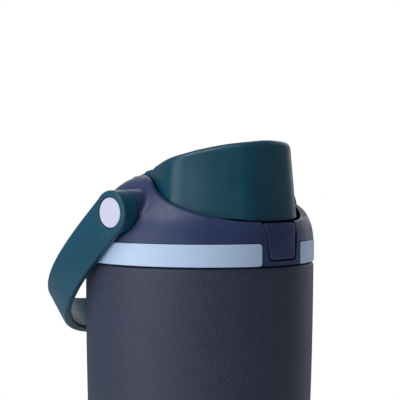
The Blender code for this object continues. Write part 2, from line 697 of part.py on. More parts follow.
def build_pivots(cap_plastic, steel, nylon):
    for side in (-1, 1):
        label = "left" if side < 0 else "right"
        centre = (0.0, 0.0, PIVOT_Z)
        cap = rod("pivot_cap_" + label, (side * 0.0519, 0, PIVOT_Z), (side * 0.0532, 0, PIVOT_Z), CAP_RADIUS,
                  cap_plastic, 24, 0.0004)
        move_origin(cap, centre)
        turn = Matrix.Rotation(side * math.pi / 2, 4, "Y")
        shank = [(0.0, 0.0513), (0.0040, 0.0513), (0.0043, 0.0510), (0.0043, 0.0499), (0.0025, 0.0499), (0.0025, 0.0376)]
        pin = turned("pivot_pin_" + label, [*shank, (0.0, 0.0376)], 20, steel)
        ring = [(0.0076, 0.0459), (0.0076, 0.0454), (0.0029, 0.0454), (0.0029, 0.0459)]
        washer = turned("pivot_washer_" + label, ring, 20, nylon, ring=True)
        for piece in (pin, washer):
            piece.rotation_euler = turn.to_euler()
            piece.location = centre


def main():
    navy = new_material("lid_navy", (0.030, 0.040, 0.095), 0.45)
    teal = new_material("cover_teal", (0.012, 0.060, 0.090), 0.40)
    sky = new_material("band_sky", (0.520, 0.620, 0.780), 0.45)
    lilac = new_material("cap_lilac", (0.640, 0.640, 0.800), 0.45)
    coat = new_material("coat_slate_navy", (0.045, 0.048, 0.080), 0.60, 0.10)
    steel = new_material("brushed_steel", (0.560, 0.570, 0.580), 0.30, 1.0)
    clear = new_material("straw_plastic", (0.700, 0.740, 0.780), 0.30)
    silicone = new_material("silicone_grey", (0.450, 0.470, 0.500), 0.60)

    build_outer_shell(coat)
    build_inner_flask(steel)
    build_base_plate(steel)
    build_neck_gasket(silicone)
    build_lid_liner(navy)
    build_lid_shell(navy)
    build_trim_band(sky)
    build_spout(sky)
    build_straw(clear, silicone)
    build_vent_valve(silicone)
    build_cover_shell(teal)
    build_cover_liner(teal, silicone)
    build_hinge(steel)
    build_latch_button(navy)
    build_button_spring(steel)
    build_handle(teal)
    build_pivots(lilac, steel, silicone)


clear_scene()
PARTS = new_collection("water_bottle")
TOOLS = new_collection("cutters")
main()
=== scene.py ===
"""Looks of the flip-cover water bottle.

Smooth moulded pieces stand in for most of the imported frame's parts. The script adds their finishes,
a floor, a camera and soft light.
"""

import math

import bmesh
import bpy
from mathutils import Matrix, Vector


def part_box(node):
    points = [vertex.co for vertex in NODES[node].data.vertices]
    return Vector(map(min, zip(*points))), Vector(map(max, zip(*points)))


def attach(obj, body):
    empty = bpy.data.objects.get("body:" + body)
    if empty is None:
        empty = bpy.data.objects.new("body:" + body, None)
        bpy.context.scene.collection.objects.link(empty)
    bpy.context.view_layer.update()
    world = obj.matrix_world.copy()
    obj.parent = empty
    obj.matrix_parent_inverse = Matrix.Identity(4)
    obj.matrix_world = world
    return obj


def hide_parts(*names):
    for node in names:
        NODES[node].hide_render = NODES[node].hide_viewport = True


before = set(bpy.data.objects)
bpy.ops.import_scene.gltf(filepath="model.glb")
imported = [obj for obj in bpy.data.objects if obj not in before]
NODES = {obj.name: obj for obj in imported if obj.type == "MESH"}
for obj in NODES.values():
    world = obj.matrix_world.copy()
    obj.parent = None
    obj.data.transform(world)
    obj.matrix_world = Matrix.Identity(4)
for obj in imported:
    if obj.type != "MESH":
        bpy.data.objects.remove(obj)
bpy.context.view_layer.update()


def middle(node):
    low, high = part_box(node)
    return (low + high) / 2


# Driving dimensions from the frame, in metres
NECK_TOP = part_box("outer_shell")[1].z
LID_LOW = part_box("lid_shell")[0]
BAND_LOW, BAND_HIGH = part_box("trim_band")
PIVOT_Z = middle("pivot_cap_left").z
HINGE = middle("hinge_pin")
SPOUT = middle("spout")
BUTTON_LOW, BUTTON_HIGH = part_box("latch_button")
CAP_OUTER_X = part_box("pivot_cap_right")[1].x

# Body, as in the frame
BODY_TOP = 0.2240
BODY_RADIUS = 0.0495
BODY_TAPER = 0.243
NECK_RADIUS = 0.0386
BASE_RING_INNER = 0.0303
SHELL_WALL = 0.0007
THREAD_PITCH = 0.0040

# Lid
DECK_TOP = 0.2405
DECK_UNDER = 0.2383
SKIRT_INNER = 0.0464
GROOVE_RADIUS = 0.0482
DOME_FOOT = 0.0494
BAND_OUTER = 0.0497
BAND_INNER = 0.0485
BAND_GAP = math.radians(14.0)
HOUSING_HALF = math.radians(13.7)
LIP_ROUND = 0.0012
LAND_EDGE = 0.0004
RIM_EDGE = 0.0005
BOSS_RADIUS = 0.0093
BOSS_END_X = 0.0451
BUTTON_TOP = 0.2420
BUTTON_BACK_Y = -0.0472

# Cover
COVER_WALL = 0.0018
COVER_DRAFT = math.tan(math.radians(5.3))
COVER_BASE_Z = 0.2439
COVER_MIDDLE_Y = -0.0100
COVER_HALF_SIZE = 0.0350
COVER_ROUND = 0.0026

# Handle
HANG_ANGLE = math.radians(41.0)
STRAP_REACH = 0.0780
STRAP_HALF_SPAN = 0.0534
STRAP_POWER = 3.02
STRAP_HALF_WIDTH_TOP = 0.0092
STRAP_HALF_WIDTH_END = 0.0088
STRAP_THICKNESS = 0.0036
STRAP_ROUND = 0.0013

# The camera's place, in degrees round from the front
CAMERA_BEARING = -45.2

# Half outlines in plan, from the front round to the rear
COVER_OUTLINE = (
    (0.0, -0.0450), (0.0095, -0.0442), (0.0148, -0.0425), (0.0182, -0.0399), (0.0230, -0.0351),
    (0.0276, -0.0299), (0.0314, -0.0247), (0.0339, -0.0200), (0.0348, -0.0156), (0.0338, -0.0108),
    (0.0315, -0.0056), (0.0286, -0.0004), (0.0250, 0.0056), (0.0216, 0.0103), (0.0188, 0.0130),
    (0.0178, 0.0156), (0.0176, 0.0200), (0.0170, 0.0240), (0.0120, 0.0250), (0.0, 0.0250),
)
POCKET_OUTLINE = (
    (0.0, -0.0462), (0.0096, -0.0451), (0.0172, -0.0420), (0.0229, -0.0379), (0.0281, -0.0326),
    (0.0321, -0.0270), (0.0345, -0.0213), (0.0352, -0.0158), (0.0342, -0.0106), (0.0318, -0.0053),
    (0.0287, -0.0001), (0.0251, 0.0059), (0.0219, 0.0103), (0.0193, 0.0132), (0.0181, 0.0156),
    (0.0176, 0.0180), (0.0174, 0.0302), (0.0168, 0.0308), (0.0, 0.0308),
)
TAIL_CORNER = math.radians(150.4)

# The dome's profile as (radius, height)
DOME_PROFILE = (
    (0.0150, 0.2610), (0.0225, 0.2610), (0.0250, 0.2608), (0.0276, 0.2602), (0.0325, 0.2578),
    (0.0370, 0.2545), (0.0412, 0.2506), (0.0447, 0.2467), (0.0461, 0.2448), (0.0471, 0.2430),
    (0.0480, 0.2410), (0.0487, 0.2388), (0.0492, 0.2360), (0.0494, 0.2339),
)

# Side lines as (place along Y, height): the cover's top and lower edge, and the lid's rim
COVER_LINE = ((-0.0450, 0.2764), (-0.0400, 0.2758), (-0.0350, 0.2747), (-0.0280, 0.2728), (-0.0180, 0.2701),
              (-0.0020, 0.2667), (0.0045, 0.2654), (0.0100, 0.2642), (0.0205, 0.2618), (0.0250, 0.2606))
SKIRT_LINE = ((-0.0450, 0.2425), (-0.0425, 0.2431), (-0.0390, 0.2436), (-0.0350, 0.2439))
RIM_LINE = ((-0.0520, 0.2423), (-0.0430, 0.2427), (-0.0350, 0.2446), (-0.0294, 0.2464), (-0.0228, 0.2487),
            (-0.0159, 0.2513), (-0.0096, 0.2542), (-0.0032, 0.2575), (0.0006, 0.2592), (0.0100, 0.2613))


# Curves

def bend(start, middle, end, t):
    """A point of the quadratic curve that leaves the start and reaches the end, heading for the middle."""
    return start * (1 - t) ** 2 + middle * 2 * t * (1 - t) + end * t ** 2


def eased(p, q, r, s, t):
    """One coordinate of a Catmull-Rom span from q to r."""
    square, cube = 2 * p - 5 * q + 4 * r - s, 3 * q - p - 3 * r + s
    return 0.5 * (2 * q + (r - p) * t + square * t ** 2 + cube * t ** 3)


def smooth_path(points, per_span, mirror_ends=False):
    """A Catmull-Rom curve through points. Mirrored ends lie on the X = 0 plane of a half outline."""
    first, last = points[0], points[-1]
    if mirror_ends:
        first, last = (-points[1][0], points[1][1]), (-points[-2][0], points[-2][1])
    ends = [first, *points, last]
    path = []
    for a, b, c, d in zip(ends, ends[1:], ends[2:], ends[3:]):
        for step in range(per_span):
            t = step / per_span
            path.append(tuple(eased(p, q, r, s, t) for p, q, r, s in zip(a, b, c, d)))
    return [*path, points[-1]]


def read(table, value):
    """Straight-line reading of a table of (place, result) pairs in rising order."""
    if value <= table[0][0]:
        return table[0][1]
    for (x0, y0), (x1, y1) in zip(table, table[1:]):
        if value <= x1:
            return y0 + (y1 - y0) * (value - x0) / (x1 - x0)
    return table[-1][1]


def soft_max(a, b, reach):
    """The greater of two heights, with a round of that reach where they cross."""
    gap = max(reach - abs(a - b), 0.0)
    return max(a, b) + gap * gap / (4 * reach)


def rounded(corners, steps=4):
    """A path through (across, height, radius) corners, each eased into a bend of about its radius."""
    path = [corners[0][:2]]
    for before, at, after in zip(corners, corners[1:], corners[2:]):
        here = Vector(at[:2])
        back, on = Vector(before[:2]) - here, Vector(after[:2]) - here
        if at[2] == 0.0:
            path.append(at[:2])
            continue
        reach = at[2] / math.tan(back.angle(on) / 2)
        reach = min(reach, 0.48 * back.length, 0.48 * on.length)
        start, end = here + back.normalized() * reach, here + on.normalized() * reach
        for step in range(steps + 1):
            path.append(tuple(bend(start, here, end, step / steps)))
    path.append(corners[-1][:2])
    return path


def body_radius(z):
    return BODY_RADIUS - BODY_TAPER * (BODY_TOP - z) ** 2


TOP_CURVE = smooth_path(COVER_LINE, 6)
SKIRT_CURVE = smooth_path(SKIRT_LINE, 6)
RIM_CURVE = smooth_path(RIM_LINE, 6)


# Meshes

def add_mesh(name, points, faces, sharp_degrees=38.0):
    mesh = bpy.data.meshes.new(name)
    mesh.from_pydata([tuple(p) for p in points], [], faces)
    bm = bmesh.new()
    bm.from_mesh(mesh)
    bmesh.ops.remove_doubles(bm, verts=bm.verts, dist=1e-6)
    bmesh.ops.dissolve_degenerate(bm, edges=bm.edges, dist=1e-7)
    bmesh.ops.recalc_face_normals(bm, faces=bm.faces)
    bm.to_mesh(mesh)
    bm.free()
    mesh.shade_smooth()
    mesh.set_sharp_from_angle(angle=math.radians(sharp_degrees))
    obj = bpy.data.objects.new(name, mesh)
    bpy.context.scene.collection.objects.link(obj)
    return obj


def skin(name, rings, joined=False, sharp_degrees=38.0):
    """A closed skin through rings of equal length. Its ends are capped or, when joined, meet each other."""
    count = len(rings[0])
    points = [Vector(p) for ring in rings for p in ring]
    faces = []
    for r in range(len(rings) if joined else len(rings) - 1):
        a, b = r * count, (r + 1) % len(rings) * count
        faces += [(a + i, a + (i + 1) % count, b + (i + 1) % count, b + i) for i in range(count)]
    if not joined:
        for start in (0, (len(rings) - 1) * count):
            points.append(sum(points[start:start + count], Vector()) / count)
            faces += [(start + i, start + (i + 1) % count, len(points) - 1) for i in range(count)]
    return add_mesh(name, points, faces, sharp_degrees)


def lathe(name, profile, steps=144, joined=False, centre=(0.0, 0.0), oval=1.0):
    """A profile of (radius, height) turned about an upright axis, drawn in along Y by the oval factor."""
    x, y = centre
    angles = [math.tau * i / steps for i in range(steps)]
    rings = [[(x + r * math.cos(a), y + r * oval * math.sin(a), z) for a in angles] for r, z in profile]
    return skin(name, rings, joined)


def x_lathe(name, profile, y, z, steps=64, joined=False):
    """A profile of (radius, place along X) turned about a level axis."""
    angles = [math.tau * i / steps for i in range(steps)]
    rings = [[(x, y + r * math.cos(a), z + r * math.sin(a)) for a in angles] for r, x in profile]
    return skin(name, rings, joined)


def apply_boolean(obj, tool, operation="DIFFERENCE", sharp_degrees=38.0):
    """Cuts or joins a tool for good, and removes the tool."""
    modifier = obj.modifiers.new("Shape", "BOOLEAN")
    modifier.object = tool
    modifier.operation = operation
    modifier.solver = "EXACT"
    graph = bpy.context.evaluated_depsgraph_get()
    mesh = bpy.data.meshes.new_from_object(obj.evaluated_get(graph), depsgraph=graph)
    obj.modifiers.clear()
    obj.data = mesh
    mesh.shade_smooth()
    mesh.set_sharp_from_angle(angle=math.radians(sharp_degrees))
    bpy.data.objects.remove(tool, do_unlink=True)


def merge(obj, *others):
    """Puts other meshes into this one, each as its own closed skin."""
    bm = bmesh.new()
    for part in (obj, *others):
        bm.from_mesh(part.data)
    bm.to_mesh(obj.data)
    bm.free()
    for part in others:
        bpy.data.objects.remove(part, do_unlink=True)
    obj.data.shade_smooth()
    obj.data.set_sharp_from_angle(angle=math.radians(38.0))
    return obj


def even_normals(obj):
    """Keeps flat faces flat beside their rounded edges."""
    modifier = obj.modifiers.new("Even normals", "WEIGHTED_NORMAL")
    modifier.keep_sharp = True
    modifier.weight = 60
    return obj


def thread_ridge(name, radius, low, turns, depth):
    """A helical ridge with a soft trapezoid section that grows in and out at its ends."""
    per_turn, half = 96, 0.0010
    count = round(turns * per_turn)
    section = ((-0.4, -1.0), (1.0, -0.45), (1.0, 0.45), (-0.4, 1.0))
    rings = []
    for index in range(count + 1):
        angle = math.tau * index / per_turn
        grow = min(1.0, 12 * min(index, count - index) / per_turn + 0.05)
        z = low + THREAD_PITCH * index / per_turn
        ring = []
        for out, up in section:
            r = radius + depth * grow * out
            ring.append((r * math.cos(angle), r * math.sin(angle), z + half * up))
        rings.append(ring)
    return skin(name, rings)


# Finishes

def linear(*channels):
    """Screen colour in 0 to 255 as the linear colour that the shaders take."""
    return tuple(c / 3294.6 if c <= 10.31 else ((c / 255 + 0.055) / 1.055) ** 2.4 for c in channels) + (1.0,)


class Finish:
    """A material whose colour, roughness and bump come from small-scale patterns."""

    def __init__(self, name, roughness, **sockets):
        self.material = bpy.data.materials.new(name)
        self.material.use_nodes = True
        self.nodes = self.material.node_tree.nodes
        self.links = self.material.node_tree.links
        self.shader = self.nodes["Principled BSDF"]
        self.shader.inputs["Roughness"].default_value = roughness
        for socket, value in sockets.items():
            self.shader.inputs[socket.replace("_", " ")].default_value = value
        self.place = self.nodes.new("ShaderNodeTexCoord").outputs["Object"]

    def noise(self, scale, detail=3.0, stretch=(1.0, 1.0, 1.0), rough=0.55):
        mapping = self.nodes.new("ShaderNodeMapping")
        mapping.inputs["Scale"].default_value = stretch
        texture = self.nodes.new("ShaderNodeTexNoise")
        texture.inputs["Scale"].default_value = scale
        texture.inputs["Detail"].default_value = detail
        texture.inputs["Roughness"].default_value = rough
        self.links.new(self.place, mapping.inputs["Vector"])
        self.links.new(mapping.outputs["Vector"], texture.inputs["Vector"])
        return texture.outputs["Fac"]

    def spread(self, source, low, high, start=0.3, end=0.7):
        node = self.nodes.new("ShaderNodeMapRange")
        for socket, value in zip(("From Min", "From Max", "To Min", "To Max"), (start, end, low, high)):
            node.inputs[socket].default_value = value
        self.links.new(source, node.inputs["Value"])
        return node.outputs["Result"]

    def mixed(self, share, first, second):
        """Colours or colour sockets, mixed by a pattern."""
        node = self.nodes.new("ShaderNodeMix")
        node.data_type = "RGBA"
        self.links.new(share, node.inputs["Factor"])
        for slot, value in ((6, first), (7, second)):
            if isinstance(value, tuple):
                node.inputs[slot].default_value = value
            else:
                self.links.new(value, node.inputs[slot])
        return node.outputs[2]

    def edge_share(self, low=0.515, high=0.60):
        """How convex the surface is, as a mask for lighter edges."""
        return self.spread(self.nodes.new("ShaderNodeNewGeometry").outputs["Pointiness"], 0.0, 1.0, low, high)

    def colour(self, source):
        self.links.new(source, self.shader.inputs["Base Color"])

    def roughness(self, source, low, high):
        self.links.new(self.spread(source, low, high), self.shader.inputs["Roughness"])

    def bump(self, source, depth, strength=1.0, onto=None):
        node = self.nodes.new("ShaderNodeBump")
        node.inputs["Strength"].default_value = strength
        node.inputs["Distance"].default_value = depth
        self.links.new(source, node.inputs["Height"])
        if onto:
            self.links.new(onto, node.inputs["Normal"])
        self.links.new(node.outputs["Normal"], self.shader.inputs["Normal"])
        return node.outputs["Normal"]


def moulded(name, base, roughness, grain=2600.0, depth=0.00002, contrast=0.10, edge_highlight=0.10):
    """Satin moulded plastic with a fine spark-eroded grain, faint flow marks and a painted highlight on convex
    edges.
    """
    finish = Finish(name, roughness, Specular_IOR_Level=0.38)
    deep = tuple(c * (1 - contrast) for c in base[:3]) + (1.0,)
    light = tuple(min(1.0, c * (1 + contrast) + 0.004) for c in base[:3]) + (1.0,)
    # Painted highlight: convex edges are mixed toward this lighter colour, as if they caught the light.
    highlight_colour = tuple(min(1.0, c * 1.35 + 0.02) for c in base[:3]) + (1.0,)
    flow = finish.noise(55.0, 3.0)
    fine = finish.noise(grain, 2.0)
    tone = finish.mixed(finish.spread(flow, 0.0, 1.0), deep, light)
    tone_and_highlight = finish.mixed(finish.spread(finish.edge_share(), 0.0, edge_highlight, 0.0, 1.0), tone, highlight_colour)
    finish.colour(tone_and_highlight)
    finish.roughness(finish.noise(240.0, 4.0), roughness - 0.05, roughness + 0.07)
    finish.bump(fine, depth, 0.6)
    return finish.material


def powder_coat(name):
    """Baked powder: a fine orange-peel skin with speckles of lighter and darker grain."""
    finish = Finish(name, 0.5, Specular_IOR_Level=0.4)
    speckle = finish.noise(1300.0, 4.0, rough=0.7)
    broad = finish.noise(38.0, 2.0)
    deep, light = linear(32, 40, 56), linear(60, 65, 88)
    grain = finish.mixed(finish.spread(speckle, 0.0, 1.0, 0.34, 0.66), deep, light)
    cloud = finish.mixed(finish.spread(broad, 0.0, 0.28), grain, linear(42, 49, 70))
    finish.colour(cloud)
    finish.roughness(speckle, 0.44, 0.62)
    skin_bump = finish.bump(finish.noise(1000.0, 2.0), 0.00012, 0.8)
    finish.bump(speckle, 0.00006, 0.7, onto=skin_bump)
    return finish.material


def brushed_steel(name, stretch):
    """Stainless steel with hairlines drawn across the stretched direction."""
    finish = Finish(name, 0.3, Metallic=1.0)
    lines = finish.noise(60.0, 5.0, stretch, 0.7)
    smear = finish.noise(90.0, 3.0)
    tone = finish.mixed(finish.spread(lines, 0.0, 1.0), linear(168, 170, 173), linear(208, 209, 211))
    finish.colour(finish.mixed(finish.spread(smear, 0.0, 0.25), tone, linear(150, 153, 158)))
    finish.roughness(lines, 0.22, 0.40)
    finish.bump(lines, 0.00002, 0.4)
    return finish.material


def silicone(name, base):
    """Soft matt rubber, mixed toward a lighter grey on its convex edges."""
    finish = Finish(name, 0.6, Sheen_Weight=0.2, Specular_IOR_Level=0.4)
    deep = tuple(c * 0.86 for c in base[:3]) + (1.0,)
    tone = finish.mixed(finish.spread(finish.noise(130.0, 4.0), 0.0, 1.0), deep, base)
    edge_lightened = finish.mixed(finish.spread(finish.edge_share(), 0.0, 0.25, 0.0, 1.0), tone, linear(190, 196, 204))
    finish.colour(edge_lightened)
    finish.roughness(finish.noise(700.0, 3.0), 0.52, 0.70)
    finish.bump(finish.noise(1900.0, 2.0), 0.00003, 0.5)
    return finish.material


def straw_plastic(name):
    """Milky translucent tube with faint draw lines."""
    finish = Finish(name, 0.25, Transmission_Weight=0.35, IOR=1.45)
    lines = finish.noise(420.0, 3.0, (1.0, 1.0, 0.04))
    finish.colour(finish.mixed(finish.spread(lines, 0.0, 1.0), linear(198, 208, 220), linear(220, 228, 236)))
    finish.roughness(lines, 0.20, 0.34)
    finish.bump(lines, 0.00002, 0.4)
    return finish.material


def dress(obj, material, slot):
    obj.data.materials.clear()
    obj.data.materials.append(material)
    return obj


def stand_for(obj, body, material, slot, *nodes):
    """A finished piece in place of CAD nodes, riding on their body."""
    dress(obj, material, slot)
    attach(obj, body)
    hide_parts(*nodes)
    return obj


# Flask

def wall(inset, low, high, count, rise=True):
    """Points down or up the tapered wall."""
    heights = [low + (high - low) * i / count for i in range(count + 1)]
    if not rise:
        heights.reverse()
    return [(body_radius(z) - inset, z, 0.0) for z in heights]


def make_body(coat):
    foot = body_radius(0.0) + 0.0004
    corners = [(BASE_RING_INNER, 0.0004, 0.0), (BASE_RING_INNER, 0.0, 0.0002), (foot, 0.0, 0.0042)]
    corners += wall(0.0, 0.011, 0.219, 30)
    corners += [(BODY_RADIUS, BODY_TOP - 0.0003, 0.0016), (0.0398, BODY_TOP + 0.0002, 0.0006)]
    corners += [(NECK_RADIUS, 0.2256, 0.0010), (NECK_RADIUS, NECK_TOP, 0.0002)]
    corners += [(NECK_RADIUS - 0.0006, NECK_TOP, 0.0002), (NECK_RADIUS - 0.0006, 0.2238, 0.0)]
    corners += wall(SHELL_WALL, 0.011, 0.219, 12, rise=False)
    corners += [(foot - SHELL_WALL, SHELL_WALL, 0.0035), (BASE_RING_INNER, SHELL_WALL, 0.0)]
    body = lathe("body_shell", rounded(corners), steps=192, joined=True)
    merge(body, thread_ridge("neck_thread", NECK_RADIUS, 0.2265, 1.35, 0.0014))
    stand_for(body, "flask", coat, "coat", "outer_shell")


def make_vessel(steel):
    """The inner wall with its rolled drinking edge and rounded floor."""
    low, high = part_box("inner_flask")
    inset, wall_inset = 0.0025, 0.0030
    floor = low.z + 0.0005
    inner = [(0.0, floor, 0.0), (body_radius(floor) - wall_inset, floor, 0.0070)]
    inner += wall(wall_inset, 0.020, 0.205, 14)
    inner += [(0.0462, 0.2155, 0.0030), (0.0372, 0.2222, 0.0030), (0.0372, high.z, 0.0004)]
    outer = [(0.0386, high.z, 0.0003), (0.0386, 0.2338, 0.0001)]
    outer += [(0.0377, 0.2338, 0.0), (0.0377, 0.2226, 0.0030)]
    outer += [(0.0467, 0.2152, 0.0030), *wall(inset, 0.020, 0.205, 14, rise=False)]
    outer += [(body_radius(low.z) - inset, low.z, 0.0074), (0.0, low.z, 0.0)]
    vessel = lathe("inner_vessel", rounded(inner + outer), steps=144)
    stand_for(vessel, "flask", steel, "steel", "inner_flask")


def make_base(steel):
    low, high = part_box("base_plate")
    step, wall_top = 0.0010, 0.0007
    under = [(0.0, low.z, 0.0), (0.0186, low.z, 0.0005), (0.0200, step, 0.0005), (0.0240, step, 0.0005)]
    under += [(0.0254, low.z, 0.0005), (high.x, low.z, 0.0002)]
    over = [(high.x, wall_top, 0.0), (0.0252, wall_top, 0.0), (0.0238, high.z, 0.0003)]
    over += [(0.0202, high.z, 0.0003), (0.0188, wall_top, 0.0), (0.0, wall_top, 0.0)]
    base = lathe("base_disc", rounded(under + over), steps=128)
    stand_for(base, "flask", steel, "steel", "base_plate")


# Lid

def dome_table():
    """The dome's profile as (distance along it, radius, height)."""
    path = smooth_path(DOME_PROFILE, 8)
    rows, run = [], 0.0
    for before, point in zip([path[0], *path], path):
        run += math.dist(before, point)
        rows.append((run, *point))
    return rows


DOME = dome_table()
DOME_LENGTH = DOME[-1][0]
DOME_RUN_BY_RADIUS = [(r, run) for run, r, _ in DOME]
DOME_RADIUS_BY_RUN = [(run, r) for run, r, _ in DOME]
DOME_HEIGHT_BY_RUN = [(run, z) for run, _, z in DOME]
DOME_RADIUS_BY_DROP = [(-z, r) for _, r, z in DOME]


def dome_height(radius):
    return read(DOME_HEIGHT_BY_RUN, read(DOME_RUN_BY_RADIUS, radius))


def dome_radius(height):
    return read(DOME_RADIUS_BY_DROP, -height)


def pocket_reach():
    """The pocket's outline as (angle from the front, distance from the axis) for one side."""
    half = smooth_path(POCKET_OUTLINE, 12, mirror_ends=True)
    return [(math.atan2(x, -y), math.hypot(x, y)) for x, y in half]


POCKET = pocket_reach()


def pocket_point(angle):
    reach = read(POCKET, abs(angle))
    return Vector((reach * math.sin(angle), -reach * math.cos(angle)))


def pocket_outward(angle):
    small = 0.01
    low, high = pocket_point(angle - small), pocket_point(angle + small)
    along = (high - low).normalized()
    return Vector((along.y, -along.x))


def spoke_angles():
    """Even spokes, with more at the tail's corners and a close pair at each side of the front housing."""
    count = 300
    angles = [-math.pi + math.tau * (i + 0.5) / count for i in range(count)]
    step = math.radians(0.02)
    for side in (-1, 1):
        angles += [side * (HOUSING_HALF - step), side * (HOUSING_HALF + step)]
        angles += [side * (TAIL_CORNER + math.radians(0.25 * i)) for i in range(-5, 6)]
    return sorted(angles)


def rim_place(direction, start):
    """The distance from the axis at which the dome falls to the rim's line, or None if it starts below it."""
    def over(radius):
        return dome_height(radius) - read(RIM_CURVE, direction.y * radius)

    near, far = start, DOME_FOOT
    if over(near) <= 0.0 or over(far) >= 0.0:
        return None
    for _ in range(30):
        half = (near + far) / 2
        near, far = (half, far) if over(half) > 0.0 else (near, half)
    return near


def rim_height(flat):
    return min(read(RIM_CURVE, flat.y), dome_height(flat.length))


def rim_spoke(angle):
    """The rim's line outward from the pocket's wall, the height where it starts and the place where it ends.

    It has an inner edge, then the flat land that the rim's cut leaves in the dome, and an outer edge. Where the
    dome lies below the cut there is only the inner edge, and its last point repeats to keep the count.
    """
    land_steps, edge_steps = (0.2, 0.4, 0.6, 0.8), 6
    narrow_land, wide_land = 0.0006, 0.0024
    direction = Vector((math.sin(angle), -math.cos(angle)))
    edge, out = pocket_point(angle), pocket_outward(angle)
    meet = rim_place(direction, edge.length)
    land = 0.0 if meet is None else meet - edge.length
    inner = min(LIP_ROUND, LAND_EDGE + 0.35 * max(0.0, wide_land - land))
    has_land = land >= narrow_land
    if has_land:
        beyond, crest = edge + direction * min(inner, land * 0.4), read(RIM_CURVE, edge.y)
    else:
        beyond, crest = edge + out * inner, dome_height(edge.length)
    start = max(crest - inner, DECK_TOP + 0.0010)
    line = []
    for step in range(9):
        t = step / 8
        line.append((bend(edge, edge, beyond, t), bend(start, crest, rim_height(beyond), t)))
    if not has_land:
        line += [line[-1]] * (len(land_steps) + edge_steps + 1)
        return line, start, beyond
    before, corner = direction * (meet - min(RIM_EDGE, land * 0.5)), direction * meet
    last = direction * (meet + RIM_EDGE)
    for share in land_steps:
        flat = beyond.lerp(before, share)
        line.append((flat, rim_height(flat)))
    heights = rim_height(before), rim_height(corner), dome_height(last.length)
    for step in range(edge_steps + 1):
        t = step / edge_steps
        line.append((bend(before, corner, last, t), bend(*heights, t)))
    return line, start, last


def dome_spoke(angle):
    """One radial line of the lid: floor, pocket wall, rim, dome, groove or housing, and skirt."""
    direction = Vector((math.sin(angle), -math.cos(angle)))
    edge, out = pocket_point(angle), pocket_outward(angle)
    pocket_middle = Vector((0.0, COVER_MIDDLE_Y))
    line = []

    def put(flat, z):
        line.append((flat.x, flat.y, z))

    for share in (0.15, 0.5, 0.85):
        put(pocket_middle.lerp(edge, share), DECK_TOP)
    rim, lip_start, beyond = rim_spoke(angle)
    foot = 0.0006
    for step in range(5):
        turn = math.pi / 2 * step / 4
        put(edge - out * foot * (1 - math.sin(turn)), DECK_TOP + foot * (1 - math.cos(turn)))
    for share in (0.35, 0.7, 0.92):
        put(edge, DECK_TOP + foot + (lip_start - DECK_TOP - foot) * share)
    for flat, z in rim:
        put(flat, z)
    start = read(DOME_RUN_BY_RADIUS, beyond.length)
    around = beyond.normalized()
    count = 24
    for step in range(1, count + 1):
        run = start + (DOME_LENGTH - start) * step / count
        bearing = around.lerp(direction, step / count).normalized()
        put(bearing * read(DOME_RADIUS_BY_RUN, run), read(DOME_HEIGHT_BY_RUN, run))
    groove = DOME_FOOT if abs(angle) < HOUSING_HALF else GROOVE_RADIUS
    soft = 0.0002
    put(direction * groove, BAND_HIGH.z + 0.0003)
    put(direction * groove, LID_LOW.z + soft)
    put(direction * (groove - soft), LID_LOW.z)
    put(direction * (SKIRT_INNER + soft), LID_LOW.z)
    put(direction * SKIRT_INNER, LID_LOW.z + soft)
    put(direction * SKIRT_INNER, DECK_UNDER - 0.0010)
    put(direction * (SKIRT_INNER - 0.0010), DECK_UNDER)
    put(direction * 0.0200, DECK_UNDER)
    return line


def boss_collar(side):
    """The round boss behind the handle's eye, flared into the dome."""
    count, flare, edge_round, sink = 96, 0.0016, 0.0003, 0.0012
    rings = [[] for _ in range(12)]
    for index in range(count):
        angle = math.tau * index / count
        sine, cosine = math.sin(angle), math.cos(angle)

        def on_dome(radius, angle_sine=sine, angle_cosine=cosine):
            y, z = radius * angle_sine, PIVOT_Z + radius * angle_cosine
            across = math.sqrt(max(dome_radius(z) ** 2 - y * y, 0.0))
            return Vector((min(across, BOSS_END_X - 0.0004), y, z))

        def on_boss(x, radius=BOSS_RADIUS, angle_sine=sine, angle_cosine=cosine):
            return Vector((x, radius * angle_sine, PIVOT_Z + radius * angle_cosine))

        meet = on_dome(BOSS_RADIUS)
        start = on_boss(min(meet.x + flare, BOSS_END_X - 0.0003))
        end = on_dome(BOSS_RADIUS + flare)
        points = [on_boss(BOSS_END_X, BOSS_RADIUS * 0.6), on_boss(BOSS_END_X, BOSS_RADIUS - edge_round)]
        points += [on_boss(BOSS_END_X - edge_round * 0.3, BOSS_RADIUS - edge_round * 0.3)]
        points += [on_boss(BOSS_END_X - edge_round)]
        points += [bend(start, meet, end, step / 6) for step in range(7)]
        points.append(end - Vector((sink, 0.0, 0.0)))
        for ring, point in zip(rings, points):
            ring.append((side * point.x, point.y, point.z))
    return skin("boss_collar", rings)


def button_outline(grow, low, high, radius):
    """The button's tapered outline in X and Z, with round corners, anticlockwise from its right side."""
    top_half, bottom_half = BUTTON_HIGH.x + grow, BUTTON_HIGH.x - 0.0020 + grow
    corners = ((top_half, high), (-top_half, high), (-bottom_half, low), (bottom_half, low))
    points = []
    for index, (x, z) in enumerate(corners):
        centre = Vector((x - math.copysign(radius, x), z + (radius if z == low else -radius)))
        for step in range(7):
            angle = math.radians(90 * index + 15 * step)
            points.append((centre.x + radius * math.cos(angle), centre.y + radius * math.sin(angle)))
    return points


